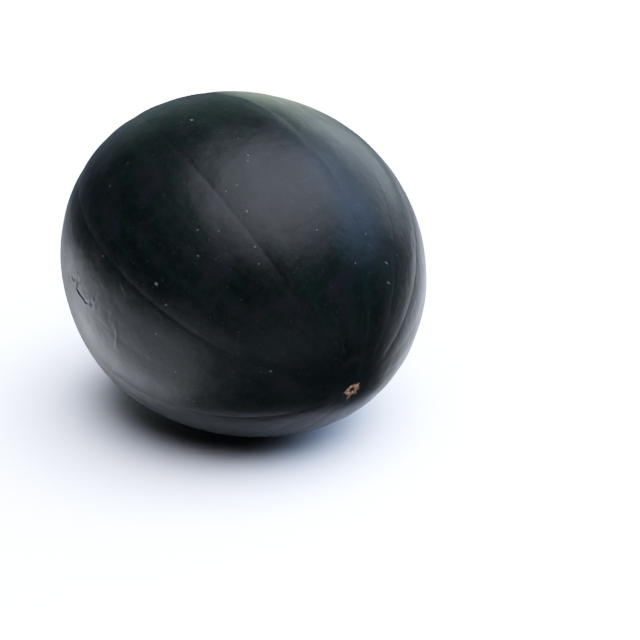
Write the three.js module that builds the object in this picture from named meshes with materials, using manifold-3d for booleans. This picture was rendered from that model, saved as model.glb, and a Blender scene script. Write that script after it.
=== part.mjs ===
// A whole black-rind watermelon with the stub of its stalk, resting on the flat spot of its underside.
// Millimetres, +Z up. The origin is the centre of the flat spot. In plan the fruit's long axis runs
// from the stem end at -X to the blossom end at +X, and it dips towards the blossom end.
import * as THREE from "three";
import { mergeVertices } from "three/addons/utils/BufferGeometryUtils.js";
import Module from "manifold-3d";

const { clamp, degToRad, lerp, smoothstep } = THREE.MathUtils;

// Driving dimensions of the body
const LENGTH = 246; // stem end to blossom end
const GIRTH = 225; // across the middle, square to the long axis
const SIT_HEIGHT = 104.3; // centre to underside, before the underside is flattened
const AXIS_DIP = degToRad(19.7); // the blossom end is the lower one
const SHOULDER = 2.0; // how far the fruit's squarish shoulders stand out of a plain ellipsoid
const SHOULDER_TURN = degToRad(55.2); // direction of the flats between the shoulders, in plan
const UNDERSIDE_FLATTENING = 4.1; // a wide, soft flattening that the fruit grew on the ground
const CROWN_FLATTENING = 1.1;
const FLATTENED_FROM = 0.55; // sine of the slope below, or above, which the skin begins to flatten
const FLAT_SPOT_DEPTH = 1.5; // taken off the lowest point, which leaves a spot about 40 mm across

// Furrows of the rind, which run from end to end
const FURROWS = 18;
const FIRST_FURROW = degToRad(81);
const FURROW_DEPTH = 0.3;
const SHALLOW_FURROW = 0.5; // depth of every other furrow, as a share of the deep ones
const FURROW_FADE = { none: 0.05, full: 0.6 }; // sines of the angle from either end

// Blossom end, in a shallow pucker: a corky star, whose arms run out from a ring round a pit. Each arm
// has a turn round the axis and a reach.
const PUCKER = { depth: 0.9, width: 13 };
const STAR = { height: 0.55, armWidth: 1.3, taperFrom: 0.6, taperPast: 1, ringRadius: 3.4, ringWidth: 1.4 };
const PIT = { depth: 1.1, width: 1.5 };
const STAR_ARMS = [
  { turn: degToRad(48), reach: 7.0 },
  { turn: degToRad(108), reach: 5.4 },
  { turn: degToRad(182), reach: 6.8 },
  { turn: degToRad(260), reach: 8.6 },
  { turn: degToRad(310), reach: 7.2 },
  { turn: degToRad(353), reach: 6.2 },
];

// Stem end: a dimple with a corky collar, and the stub of the stalk in it
const DIMPLE = { depth: 5, width: 19 };
const COLLAR = { height: 0.5, radius: 9.5, width: 1.4 };
const STUB = { length: 8, footRadius: 7, radius: 4.1, flare: 1.7, ridges: 5, ridgeDepth: 0.07 };
const STUB_CUT = { bevel: 0.5, hollow: 0.7 };
const STUB_LEAN = 0.8; // sideways at the cut end
const GAP = 0.3; // between the stub and the skin

// How finely the surfaces are divided
const SEGMENTS = 5 * FURROWS; // five steps to a furrow
const FINEST_RING = degToRad(0.75); // at both ends
const WIDEST_RING = degToRad(4.8); // round the middle
const RING_GROWTH = 0.17;
const STUB_SEGMENTS = 40;
const STUB_FOOT_RINGS = 3;
const STUB_SIDE_RINGS = 9;
const STUB_CROWDING = 1.5; // above 1, the side's rings lie closer together at the foot's flare
const SAME_HEIGHT = 1e-3; // points of the flat spot differ by less than this

// Directions of the fruit from its centre: the turn round the axis is measured from ACROSS towards OVER.
const AXIS = new THREE.Vector3(Math.cos(AXIS_DIP), 0, -Math.sin(AXIS_DIP));
const ACROSS = new THREE.Vector3(0, 1, 0);
const OVER = new THREE.Vector3(Math.sin(AXIS_DIP), 0, Math.cos(AXIS_DIP));

function direction(fromBlossom, turn) {
  return new THREE.Vector3()
    .addScaledVector(AXIS, Math.cos(fromBlossom))
    .addScaledVector(ACROSS, Math.sin(fromBlossom) * Math.cos(turn))
    .addScaledVector(OVER, Math.sin(fromBlossom) * Math.sin(turn));
}

// The ellipsoid as a matrix E, with p E p = 1 on its surface: a sphere of the girth, drawn out along
// the axis to the length and pressed down to the sitting height.
const ellipsoid = (() => {
  const round = (GIRTH / 2) ** 2;
  const drawn = (LENGTH / 2) ** 2 - round;
  const pressed = round - SIT_HEIGHT ** 2;
  const xx = round + drawn * AXIS.x ** 2;
  const xz = drawn * AXIS.x * AXIS.z;
  const zz = round + drawn * AXIS.z ** 2 - pressed;
  return new THREE.Matrix3().set(xx, 0, xz, 0, round, 0, xz, 0, zz).invert();
})();

// Distance from the centre to the smooth body, along direction d
function bodyRadius(d) {
  const radius = 1 / Math.sqrt(d.dot(d.clone().applyMatrix3(ellipsoid)));
  const right = d.x * Math.cos(SHOULDER_TURN) + d.y * Math.sin(SHOULDER_TURN);
  const front = d.x * Math.sin(SHOULDER_TURN) - d.y * Math.cos(SHOULDER_TURN);
  const squareness = right ** 4 + front ** 4 + d.z ** 4 - 3 / 4; // 0 on average round a level ring
  const underside = smoothstep(-d.z, FLATTENED_FROM, 1) * UNDERSIDE_FLATTENING;
  const crown = smoothstep(d.z, FLATTENED_FROM, 1) * CROWN_FLATTENING;
  return radius - SHOULDER * squareness - underside - crown;
}

// A soft hump: its height at the middle, and about a third of that at its width from there
function hump(distance, height, width) {
  return height * Math.exp(-((distance / width) ** 2));
}

// Relief of the furrows: narrow valleys between broad backs, every other one shallower
function furrowRelief(fromBlossom, turn) {
  const wave = (1 + Math.cos(FURROWS * (turn - FIRST_FURROW))) / 2;
  const deep = (1 + Math.cos((FURROWS / 2) * (turn - FIRST_FURROW))) / 2;
  const depth = FURROW_DEPTH * lerp(SHALLOW_FURROW, 1, deep);
  const fade = smoothstep(Math.sin(fromBlossom), FURROW_FADE.none, FURROW_FADE.full);
  return -depth * wave ** 2 * fade;
}

// Relief of the corky star, at a distance along the skin from the blossom end's middle
function starRelief(distance, turn) {
  let ridge = hump(distance - STAR.ringRadius, STAR.height, STAR.ringWidth);
  for (const arm of STAR_ARMS) {
    const off = Math.abs(Math.atan2(Math.sin(turn - arm.turn), Math.cos(turn - arm.turn)));
    const sideways = distance * Math.sin(Math.min(off, Math.PI / 2));
    const tip = arm.reach + STAR.taperPast;
    const lengthwise = 1 - smoothstep(distance, STAR.taperFrom * arm.reach, tip);
    ridge = Math.max(ridge, lengthwise * hump(sideways, STAR.height, STAR.armWidth));
  }
  return ridge - hump(distance, PIT.depth, PIT.width);
}

// Relief of the stem end, at a distance along the skin from its middle
function dimpleRelief(distance) {
  return (
    hump(distance - COLLAR.radius, COLLAR.height, COLLAR.width) -
    hump(distance, DIMPLE.depth, DIMPLE.width)
  );
}

// The point of the skin at an angle from the blossom end and a turn round the axis
function skinPoint(fromBlossom, turn) {
  const d = direction(fromBlossom, turn);
  const smooth = bodyRadius(d);
  const relief =
    furrowRelief(fromBlossom, turn) -
    hump(smooth * fromBlossom, PUCKER.depth, PUCKER.width) +
    starRelief(smooth * fromBlossom, turn) +
    dimpleRelief(smooth * (Math.PI - fromBlossom));
  return d.multiplyScalar(smooth + relief);
}

// Angles of the rings from the blossom end to the stem end, closer together towards both ends
function ringAngles() {
  const angles = [0];
  for (let angle = 0; angle < Math.PI / 2; ) {
    angle += clamp(FINEST_RING + RING_GROWTH * angle, FINEST_RING, WIDEST_RING);
    angles.push(angle);
  }
  const half = angles[angles.length - 1];
  const blossomHalf = angles.map((angle) => (angle / half) * (Math.PI / 2));
  const stemHalf = blossomHalf.slice(0, -1).reverse();
  return [...blossomHalf, ...stemHalf.map((angle) => Math.PI - angle)];
}

// A closed surface of rings round the axis. place(ring, turn) gives a point, and the first ring and
// the last one are single points.
function ringedSurface(rings, segments, firstTurn, place) {
  const points = [place(0, 0)];
  for (let ring = 1; ring < rings - 1; ring++)
    for (let i = 0; i < segments; i++)
      points.push(place(ring, firstTurn + (2 * Math.PI * i) / segments));
  points.push(place(rings - 1, 0));
  const last = points.length - 1;
  const vertex = (ring, i) => 1 + (ring - 1) * segments + (i % segments);
  const index = [];
  for (let i = 0; i < segments; i++) {
    index.push(0, vertex(1, i), vertex(1, i + 1));
    for (let ring = 1; ring < rings - 2; ring++) {
      const [a, b] = [vertex(ring, i), vertex(ring + 1, i)];
      const [c, d] = [vertex(ring + 1, i + 1), vertex(ring, i + 1)];
      index.push(a, b, c, a, c, d);
    }
    index.push(last, vertex(rings - 2, i + 1), vertex(rings - 2, i));
  }
  return new THREE.BufferGeometry().setFromPoints(points).setIndex(index);
}

const wasm = await Module();
wasm.setup();

function toSolid(geometry) {
  const bare = geometry.clone().deleteAttribute("normal").deleteAttribute("uv");
  const merged = mergeVertices(bare);
  const mesh = new wasm.Mesh({
    numProp: 3,
    vertProperties: merged.attributes.position.array,
    triVerts: new Uint32Array(merged.index.array),
  });
  return new wasm.Manifold(mesh);
}

function toGeometry(solid) {
  const { vertProperties, triVerts } = solid.getMesh();
  return new THREE.BufferGeometry()
    .setAttribute("position", new THREE.BufferAttribute(vertProperties, 3))
    .setIndex(new THREE.BufferAttribute(triVerts, 1));
}

// The fruit about its own centre, with the flat spot cut off level, and the middle of that spot
function makeFruit() {
  const angles = ringAngles();
  const whole = ringedSurface(angles.length, SEGMENTS, FIRST_FURROW, (ring, turn) =>
    skinPoint(angles[ring], turn),
  );
  whole.computeBoundingBox();
  const spotHeight = whole.boundingBox.min.z + FLAT_SPOT_DEPTH;
  const below = new THREE.BoxGeometry(LENGTH, LENGTH, GIRTH).translate(0, 0, spotHeight - GIRTH / 2);
  const geometry = toGeometry(toSolid(whole).subtract(toSolid(below)));
  const spot = new THREE.Box3();
  const position = geometry.attributes.position;
  for (let i = 0; i < position.count; i++) {
    const point = new THREE.Vector3().fromBufferAttribute(position, i);
    if (Math.abs(point.z - spotHeight) < SAME_HEIGHT) spot.expandByPoint(point);
  }
  geometry.computeVertexNormals();
  return { geometry, spotCentre: spot.getCenter(new THREE.Vector3()).setZ(spotHeight) };
}

// Foot, side and cut end of the stub as pairs of radius and height over the skin
function stubProfile() {
  const profile = [];
  for (let i = 0; i <= STUB_FOOT_RINGS; i++)
    profile.push({ radius: (STUB.footRadius * i) / STUB_FOOT_RINGS, height: 0 });
  const sideLength = STUB.length - STUB_CUT.bevel;
  for (let i = 1; i <= STUB_SIDE_RINGS; i++) {
    const height = sideLength * (i / STUB_SIDE_RINGS) ** STUB_CROWDING;
    const flare = (STUB.footRadius - STUB.radius) * Math.exp(-height / STUB.flare);
    profile.push({ radius: STUB.radius + flare, height });
  }
  profile.push({ radius: STUB.radius - STUB_CUT.bevel, height: STUB.length });
  profile.push({ radius: STUB.radius / 2, height: STUB.length - STUB_CUT.hollow / 2 });
  profile.push({ radius: 0, height: STUB.length - STUB_CUT.hollow });
  return profile;
}

// The stub follows the skin under it at the gap, and leans over a little towards its cut end.
function makeStub() {
  const profile = stubProfile();
  const stemReach = skinPoint(Math.PI, 0).length();
  const geometry = ringedSurface(profile.length, STUB_SEGMENTS, 0, (ring, turn) => {
    const { radius, height } = profile[ring];
    const ridged = radius * (1 + STUB.ridgeDepth * Math.cos(STUB.ridges * turn));
    const foot = skinPoint(Math.PI - Math.asin(ridged / stemReach), turn);
    return foot
      .addScaledVector(AXIS, -GAP - height)
      .addScaledVector(OVER, STUB_LEAN * (height / STUB.length) ** 2);
  });
  geometry.computeVertexNormals();
  return geometry;
}

const rind = new THREE.MeshStandardMaterial({ color: 0x18211f, roughness: 0.35, metalness: 0 });
const driedStalk = new THREE.MeshStandardMaterial({ color: 0x7a6544, roughness: 0.9, metalness: 0 });

const fruit = makeFruit();
const melon = new THREE.Mesh(fruit.geometry, rind);
melon.name = "watermelon";
const stub = new THREE.Mesh(makeStub(), driedStalk);
stub.name = "stem_stub";

// The whole is moved from the fruit's own centre to the middle of the flat spot.
const part = new THREE.Group();
part.add(melon, stub);
part.position.copy(fruit.spotCentre).negate();

export default part;
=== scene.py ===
"""The looks of a whole black-rind watermelon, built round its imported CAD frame.

The fruit rests on the flat spot of its underside, on a pale floor in soft studio light. Lengths are in
metres, in the CAD frame: +Z up, the origin at the middle of the flat spot, and in plan the fruit's long
axis from the stem end at -X to the blossom end at +X.
"""

import logging
import math
from collections.abc import Callable
from dataclasses import dataclass, field
from enum import Enum

import bpy
import numpy as np
from mathutils import Matrix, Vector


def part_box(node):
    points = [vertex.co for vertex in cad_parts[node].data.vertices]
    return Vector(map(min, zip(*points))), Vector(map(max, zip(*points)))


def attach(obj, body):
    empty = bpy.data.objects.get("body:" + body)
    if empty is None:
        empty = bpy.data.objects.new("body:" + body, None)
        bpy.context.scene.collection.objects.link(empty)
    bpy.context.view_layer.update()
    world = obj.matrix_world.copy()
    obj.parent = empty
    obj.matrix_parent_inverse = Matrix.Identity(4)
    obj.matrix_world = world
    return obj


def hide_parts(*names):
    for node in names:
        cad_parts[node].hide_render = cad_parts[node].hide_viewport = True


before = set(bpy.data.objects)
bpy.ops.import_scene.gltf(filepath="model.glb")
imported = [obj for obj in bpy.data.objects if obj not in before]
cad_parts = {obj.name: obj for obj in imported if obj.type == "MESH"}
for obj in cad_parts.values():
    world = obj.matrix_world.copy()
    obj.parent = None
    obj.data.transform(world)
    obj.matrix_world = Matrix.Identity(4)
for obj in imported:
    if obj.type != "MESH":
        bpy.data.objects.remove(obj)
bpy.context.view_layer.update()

MM = 0.001
PICTURE_SIDE = 640  # pixels of the reference picture, which is square

# The sockets of a Map Range node that hold the limits of what comes in, then of what goes out
RANGE = ("From Min", "From Max", "To Min", "To Max")

Tree = bpy.types.NodeTree
Socket = bpy.types.NodeSocket
Colour = tuple[float, float, float, float]
Layer = tuple[Socket, Socket | Colour]  # how much of a colour covers what is under it, and the colour

log = logging.getLogger("watermelon")


class Slot(Enum):
    """The record's material slots."""

    RIND = "rind"
    STALK = "dried_stalk"


class SkinValue(Enum):
    """What the skin's mesh tells its finish at each point."""

    FURROW_PLACE = "meridian"
    CORK = "cork"
    PIT = "pit"
    GROUND_SPOT = "ground_spot"


class Lie(Enum):
    """How a pattern lies on the skin."""

    EVEN = "even"
    ALONG_FURROWS = "along the furrows"


def linear(hex_colour: str) -> Colour:
    """Turns an sRGB colour into the linear one that shaders take.

    Args:
        hex_colour: the colour as "#rrggbb".

    Returns:
        Linear red, green and blue, and an alpha of 1.
    """
    channels = [int(hex_colour[i : i + 2], 16) / 255 for i in (1, 3, 5)]
    straight_end = 0.04045  # the sRGB curve is a straight line up to here
    return (*[c / 12.92 if c <= straight_end else ((c + 0.055) / 1.055) ** 2.4 for c in channels], 1.0)


def fill(tree: Tree, node: bpy.types.Node, inputs: dict[str | int, object]) -> None:
    """Sets or links a node's inputs.

    Args:
        tree: the node's tree.
        node: the node.
        inputs: for each input's name or number a value, or the socket that is linked to it.
    """
    for key, value in inputs.items():
        if isinstance(value, Socket):
            tree.links.new(value, node.inputs[key])
        else:
            node.inputs[key].default_value = value


def add_node(
    tree: Tree, kind: str, inputs: dict[str | int, object] | None = None, **settings: object
) -> bpy.types.Node:
    """Adds a node with its settings, input values and links.

    Args:
        tree: the node tree that the node joins.
        kind: the node's type.
        inputs: as for fill.
        settings: the node's own properties.

    Returns:
        The new node.
    """
    node = tree.nodes.new(kind)
    for name, value in settings.items():
        setattr(node, name, value)
    fill(tree, node, inputs or {})
    return node


def new_material(name: str) -> tuple[bpy.types.Material, bpy.types.Node]:
    """Makes a material with its own shader.

    Args:
        name: the material's name.

    Returns:
        The material and its shader node.
    """
    material = bpy.data.materials.new(name)
    material.use_nodes = True
    return material, material.node_tree.nodes["Principled BSDF"]


def smoothstep(x: np.ndarray, low: float, high: float) -> np.ndarray:
    """Rises smoothly from 0 at low to 1 at high.

    Args:
        x: the values.
        low: where the rise starts.
        high: where it ends.

    Returns:
        An array of x's shape, from 0 to 1.
    """
    t = np.clip((x - low) / (high - low), 0, 1)
    return t * t * (3 - 2 * t)


def hump(distance: np.ndarray, height: float, width: float) -> np.ndarray:
    """A soft hump.

    Args:
        distance: distances from its middle.
        height: its height at the middle.
        width: the distance at which about a third of the height is left.

    Returns:
        The height at each distance.
    """
    return height * np.exp(-((distance / width) ** 2))


def turn_between(turn: np.ndarray, other: float) -> np.ndarray:
    """Gives how far turns round the axis are past another one, from half a turn back to half a turn on."""
    return np.arctan2(np.sin(turn - other), np.cos(turn - other))


def graded(total: float, step_at: Callable[[float], float]) -> np.ndarray:
    """Divides a length into steps that change along it.

    Args:
        total: the length.
        step_at: gives the step's size at a distance from the start.

    Returns:
        The places from 0 to the total, both included.
    """
    places = [0.0]
    while places[-1] < total:
        places.append(places[-1] + step_at(places[-1]))
    return np.array(places) / places[-1] * total


@dataclass(frozen=True)
class FruitForm:
    """The smooth body of the fruit: an ellipsoid with squarish shoulders and a flattened underside."""

    length: float = 246 * MM
    girth: float = 225 * MM
    sit_height: float = 104.3 * MM  # from the centre to the underside, before that is flattened
    axis_dip: float = math.radians(19.7)  # how far the blossom end points down
    shoulder: float = 2.0 * MM  # how far the squarish shoulders stand out of a plain ellipsoid
    shoulder_turn: float = math.radians(55.2)  # direction of the flats between them, in plan
    underside_flattening: float = 4.1 * MM
    crown_flattening: float = 1.1 * MM
    flattened_from: float = 0.55  # sine of the slope where the flattening starts
    flat_spot_depth: float = 1.5 * MM

    def axes(self) -> np.ndarray:
        """Gives three unit directions as rows: towards the blossom end, across, and over the top."""
        dip = self.axis_dip
        return np.array([[math.cos(dip), 0, -math.sin(dip)], [0, 1, 0], [math.sin(dip), 0, math.cos(dip)]])

    def direction(self, from_blossom: np.ndarray, turn: np.ndarray) -> np.ndarray:
        """Gives directions from the fruit's centre.

        Args:
            from_blossom: angles from the blossom end.
            turn: turns round the axis, from across towards over.

        Returns:
            Unit vectors, in a last dimension of three.
        """
        parts = [np.cos(from_blossom) + 0 * turn, np.sin(from_blossom) * np.cos(turn)]
        parts.append(np.sin(from_blossom) * np.sin(turn))
        return np.stack(parts, axis=-1) @ self.axes()

    def radius(self, d: np.ndarray) -> np.ndarray:
        """Gives the distance from the centre to the smooth body.

        Args:
            d: unit directions.

        Returns:
            The distance along each of them.
        """
        axis = self.axes()[0]
        round_part = (self.girth / 2) ** 2
        drawn = ((self.length / 2) ** 2 - round_part) * np.outer(axis, axis)
        pressed = (round_part - self.sit_height**2) * np.diag([0, 0, 1])
        matrix = np.linalg.inv(round_part * np.eye(3) + drawn - pressed)
        radius = 1 / np.sqrt(np.einsum("...i,ij,...j->...", d, matrix, d))
        cos_turn, sin_turn = math.cos(self.shoulder_turn), math.sin(self.shoulder_turn)
        right = d[..., 0] * cos_turn + d[..., 1] * sin_turn
        front = d[..., 0] * sin_turn - d[..., 1] * cos_turn
        squareness = right**4 + front**4 + d[..., 2] ** 4 - 3 / 4  # 0 on average round a level ring
        underside = smoothstep(-d[..., 2], self.flattened_from, 1) * self.underside_flattening
        crown = smoothstep(d[..., 2], self.flattened_from, 1) * self.crown_flattening
        return radius - self.shoulder * squareness - underside - crown


@dataclass(frozen=True)
class Furrows:
    """The valleys that run from the stem end to the blossom end, between broad backs.

    Every second valley is shallower, and each has a thin crease along its bottom.
    """

    count: int = 18
    first: float = math.radians(81)  # the turn of one of the deeper valleys
    depth: float = 0.3 * MM
    shallow_share: float = 0.5
    fade: tuple[float, float] = (0.05, 0.6)  # sines of the angle from an end between which they deepen
    crease_depth: float = 0.10 * MM
    crease_sharpness: float = 60

    def relief(self, from_blossom: np.ndarray, turn: np.ndarray) -> np.ndarray:
        """Gives the furrows' relief.

        Args:
            from_blossom: angles from the blossom end.
            turn: turns round the axis.

        Returns:
            Heights over the smooth body, all 0 or less.
        """
        phase = turn - self.first
        wave = (1 + np.cos(self.count * phase)) / 2
        deep = (1 + np.cos(self.count / 2 * phase)) / 2
        share = self.shallow_share + (1 - self.shallow_share) * deep
        fade = smoothstep(np.sin(from_blossom), *self.fade)
        crease = self.crease_depth * wave**self.crease_sharpness
        return -(self.depth * wave**2 + crease) * share * fade


@dataclass(frozen=True)
class StarArm:
    """One arm of the blossom end's star: its turn in degrees, and how far it reaches."""

    turn: float
    reach: float


@dataclass(frozen=True)
class BlossomStar:
    """The corky star that the flower left, in a shallow pucker."""

    pucker_depth: float = 0.9 * MM
    pucker_width: float = 13 * MM
    height: float = 0.55 * MM
    arm_width: float = 1.3 * MM
    taper_from: float = 0.6  # the share of its reach from which an arm sinks into the skin
    taper_past: float = 1 * MM  # how far past its reach it has sunk in
    ring_radius: float = 3.4 * MM
    ring_width: float = 1.4 * MM
    cork_shares: tuple[float, float] = (0.3, 0.7)  # the ridges' shares between which skin turns to cork
    pit_depth: float = 1.1 * MM
    pit_width: float = 1.5 * MM
    pit_edge: tuple[float, float] = (1.35 * MM, 2.1 * MM)
    fissure_depth: float = 0.3 * MM
    fissure_width: float = 0.28 * MM
    # Painted shade: how far the cork's paleness drops along the middle line of each fissure
    fissure_painted_shade: float = 0.55  # how much of the cork's paleness a fissure takes away
    fissure_shares: tuple[float, float] = (0.2, 0.7)  # the ridges' shares between which it deepens
    arms: tuple[StarArm, ...] = (
        StarArm(48, 7.0 * MM),
        StarArm(108, 5.4 * MM),
        StarArm(182, 6.8 * MM),
        StarArm(260, 8.6 * MM),
        StarArm(310, 7.2 * MM),
        StarArm(353, 6.2 * MM),
    )

    def ridges(self, distance: np.ndarray, turn: np.ndarray) -> tuple[np.ndarray, np.ndarray]:
        """Gives how strongly the arms stand out, and how far each point is from an arm's middle line.

        Args:
            distance: distances along the skin from the blossom end's middle.
            turn: turns round the axis.

        Returns:
            A share from 0 off the arms to 1 along their middles, and the sideways distance there.
        """
        share = hump(distance - self.ring_radius, 1, self.ring_width) + 0 * turn
        sideways = np.full(share.shape, np.inf)
        for arm in self.arms:
            off = np.abs(turn_between(turn, math.radians(arm.turn)))
            aside = distance * np.sin(np.minimum(off, math.pi / 2))
            along = 1 - smoothstep(distance, self.taper_from * arm.reach, arm.reach + self.taper_past)
            share = np.maximum(share, along * hump(aside, 1, self.arm_width))
            sideways = np.minimum(sideways, aside)
        return share, sideways

    def relief(self, distance: np.ndarray, turn: np.ndarray) -> np.ndarray:
        """Gives the star's relief, pit and pucker included.

        Args:
            distance: distances along the skin from the blossom end's middle.
            turn: turns round the axis.

        Returns:
            Heights over the smooth body.
        """
        share, sideways = self.ridges(distance, turn)
        fissure = hump(sideways, self.fissure_depth, self.fissure_width)
        fissure = fissure * smoothstep(share, *self.fissure_shares)
        pit = hump(distance, self.pit_depth, self.pit_width)
        return self.height * share - fissure - pit - hump(distance, self.pucker_depth, self.pucker_width)

    def cork(self, distance: np.ndarray, turn: np.ndarray) -> np.ndarray:
        """Gives where the star is dry cork, with shade painted in along its fissures.

        Args:
            distance: distances along the skin from the blossom end's middle.
            turn: turns round the axis.

        Returns:
            Shares from 0 to 1.
        """
        share, sideways = self.ridges(distance, turn)
        # painted shade along the fissures, which lowers the cork share there
        fissure = hump(sideways, self.fissure_painted_shade, self.fissure_width)
        return smoothstep(share, *self.cork_shares) * (1 - fissure)

    def pit(self, distance: np.ndarray) -> np.ndarray:
        """Gives where the dark pit is, from 0 to 1, for distances along the skin."""
        return 1 - smoothstep(distance, *self.pit_edge)


@dataclass(frozen=True)
class StemDimple:
    """The hollow of the stem end, with a corky collar round the stalk."""

    depth: float = 5 * MM
    width: float = 19 * MM
    collar_height: float = 0.5 * MM
    collar_radius: float = 9.5 * MM
    collar_width: float = 1.4 * MM
    cork_edge: float = 2.5 * MM

    def relief(self, distance: np.ndarray) -> np.ndarray:
        """Gives the hollow's and the collar's relief for distances along the skin from the stem end."""
        collar = hump(distance - self.collar_radius, self.collar_height, self.collar_width)
        return collar - hump(distance, self.depth, self.width)

    def cork(self, distance: np.ndarray) -> np.ndarray:
        """Gives where the collar is dry cork, from 0 to 1, for distances from the stem end."""
        return 1 - smoothstep(distance, self.collar_radius, self.collar_radius + self.cork_edge)


@dataclass(frozen=True)
class GroundSpot:
    """The pale side on which the fruit lay while it grew, paler towards the middle of its ground spot.

    Its rim follows a furrow on each side, and every place is an angle from the blossom end and a turn.
    """

    middle: tuple[float, float] = (math.radians(126), math.radians(56))
    spread: tuple[float, float] = (math.radians(25), math.radians(27))
    half_turn: float = math.radians(27)
    rim_width: float = math.radians(1.6)
    blossom_fade: tuple[float, float] = (math.radians(54), math.radians(106))
    stem_fade: tuple[float, float] = (math.radians(136), math.radians(156))
    rim_paleness: float = 0.2
    # The rim's waves: how many there are in a radian, how far each goes, and where it starts
    ragged: tuple[tuple[float, float, float], ...] = (
        (9, math.radians(0.9), 0),
        (23, math.radians(0.54), 1),
    )

    def paleness(self, from_blossom: np.ndarray, turn: np.ndarray) -> np.ndarray:
        """Gives how pale the skin is.

        Args:
            from_blossom: angles from the blossom end.
            turn: turns round the axis.

        Returns:
            0 off the pale side, the rim's paleness along its edge and 1 in the middle of the spot.
        """
        off = turn_between(turn, self.middle[1])
        waves = [size * np.sin(count * from_blossom + start) for count, size, start in self.ragged]
        rim = self.half_turn + sum(waves)
        inside = 1 - smoothstep(np.abs(off), rim - self.rim_width, rim + self.rim_width)
        inside *= smoothstep(from_blossom, *self.blossom_fade)
        inside *= 1 - smoothstep(from_blossom, *self.stem_fade)
        along = (from_blossom - self.middle[0]) / self.spread[0]
        aside = off / self.spread[1]
        return inside * np.maximum(self.rim_paleness, np.exp(-(along**2) - aside**2))


@dataclass(frozen=True)
class HealedCrack:
    """A crack or a ridge of the rind, which healed while it grew.

    It runs through places that are each an angle from the blossom end and a turn, in degrees. A height
    below 0 is a crack, and its lips stand up beside it.
    """

    places: tuple[tuple[float, float], ...]
    height: float
    width: float
    lip_height: float = 0.0
    lip_distance: float = 1.3 * MM
    lip_width: float = 0.7 * MM

    def relief(self, from_blossom: np.ndarray, turn: np.ndarray, radius: float) -> np.ndarray:
        """Gives the crack's relief.

        Args:
            from_blossom: angles from the blossom end.
            turn: turns round the axis.
            radius: the fruit's radius there.

        Returns:
            Heights over the skin round it.
        """
        first_from, first_turn = (math.radians(angle) for angle in self.places[0])
        squeeze = math.sin(first_from)

        def flat(from_end: np.ndarray, around: np.ndarray) -> np.ndarray:
            """Lays places out flat, in metres from the first one."""
            offsets = [from_end - first_from, squeeze * turn_between(around, first_turn)]
            return radius * np.stack(offsets, axis=-1)

        here = flat(from_blossom, turn)
        stops = [flat(*(np.radians(angle) for angle in place)) for place in self.places]
        distance = np.full(here.shape[:-1], np.inf)
        for start, end in zip(stops[:-1], stops[1:]):
            run = end - start
            share = np.clip((here - start) @ run / (run @ run), 0, 1)
            gap = np.linalg.norm(here - start - share[..., None] * run, axis=-1)
            distance = np.minimum(distance, gap)
        lip = hump(distance - self.lip_distance, self.lip_height, self.lip_width)
        return hump(distance, self.height, self.width) + lip


@dataclass(frozen=True)
class SkinMark:
    """A small mark of the rind: a scar, a scratch or a speck. Its angles are in degrees.

    Its place is an angle from the blossom end and a turn round the axis, and its heading is measured
    from the line to the blossom end.
    """

    from_blossom: float
    turn: float
    length: float
    width: float
    heading: float = 0.0
    strength: float = 1.0


@dataclass(frozen=True)
class Tone:
    """A tone of the skin, which covers the ones before it in patches.

    The patches are where a noise is over its lower limit, and they have their full strength over the
    upper one.
    """

    colour: str
    size: float
    limits: tuple[float, float]
    detail: float
    lie: Lie = Lie.EVEN
    strength: float = 1.0
    roughness: float = 0.5
    distortion: float = 0.0


@dataclass(frozen=True)
class Dots:
    """Scattered pale dots, in a share of the cells of that spacing, and of any strength up to theirs."""

    spacing: float
    radius: float
    share: float
    strength: float


@dataclass(frozen=True)
class Unevenness:
    """A layer of the skin's fine relief: the size and the depth of its swells."""

    size: float
    depth: float
    detail: float
    lie: Lie = Lie.EVEN
    roughness: float = 0.5


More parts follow.
